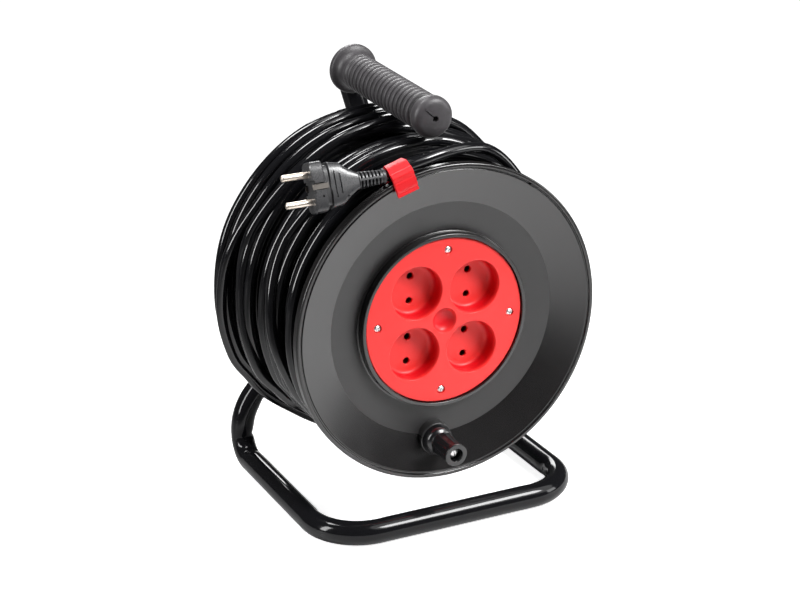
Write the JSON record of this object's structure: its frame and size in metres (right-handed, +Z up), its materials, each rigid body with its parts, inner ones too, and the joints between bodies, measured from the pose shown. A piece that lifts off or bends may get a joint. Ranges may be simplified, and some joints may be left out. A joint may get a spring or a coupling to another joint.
{
  "type": "extension cord reel",
  "caption": "Extension cord reel with a black dished drum of wound cord, a red socket panel on its face, a crank knob and a bent steel tube stand with a ribbed grip.",
  "frame": {"origin": "on the floor, at the middle of the standing frame's length, width and front to back depth", "axes": "+Z up, +X to the right as one faces the socket panel, -Y out of the socket panel; the axle is along Y"},
  "size_m": [0.264, 0.2134, 0.3265],
  "materials": {
    "black_plastic": "satin black moulding",
    "black_paint": "gloss black paint on steel",
    "red_plastic": "satin red moulding",
    "grip_rubber": "matt grey-black soft moulding",
    "cord_rubber": "glossy black sheath",
    "plug_plastic": "satin grey-black moulding",
    "nickel": "nickel plated",
    "zinc": "zinc plated",
    "brass": "plain",
    "ivory_plastic": "natural"
  },
  "bodies": {
    "frame": {"frame_tube": "black_paint", "tube_end_cap": "black_plastic", "grip": "grip_rubber", "axle": "zinc", "axle_washer_front": "zinc", "axle_spacer": "zinc", "axle_washer_back": "zinc", "axle_nut": "zinc"},
    "drum": {"front_flange": "black_plastic", "rear_flange": "black_plastic", "drum_core": "black_plastic", "cord_grommet": "cord_rubber", "tie_screw_1": "zinc", "tie_screw_2": "zinc", "tie_screw_3": "zinc", "tie_screw_4": "zinc", "front_bush": "ivory_plastic", "rear_bush": "ivory_plastic", "socket_panel": "red_plastic", "panel_screw_1": "zinc", "panel_screw_2": "zinc", "panel_screw_3": "zinc", "panel_screw_4": "zinc", "contact_carrier": "ivory_plastic", "carrier_screw": "zinc", "live_bus_bar": "brass", "neutral_bus_bar": "brass", "cord_clamp": "ivory_plastic", "clamp_screw_1": "zinc", "clamp_screw_2": "zinc", "inner_lead": "cord_rubber", "crank_pin": "zinc", "cord_clip": "red_plastic", "cord_winding": "cord_rubber", "cord_lead": "cord_rubber", "strain_relief": "cord_rubber", "plug_body": "plug_plastic", "plug_pin_1": "nickel", "plug_pin_2": "nickel", "plug_earth_strip_1": "nickel", "plug_earth_strip_2": "nickel"},
    "knob": {"crank_knob": "black_plastic"}
  },
  "joints": [
    {"name": "drum_spin", "type": "hinge", "parent": "frame", "child": "drum", "pos_m": [0, 0.02601, 0.155], "axis": [0, 1, 0], "continuous": true},
    {"name": "knob_spin", "type": "hinge", "parent": "drum", "child": "knob", "pos_m": [-0.00872, -0.07899, 0.06442], "axis": [0, 1, 0], "continuous": true}
  ]
}
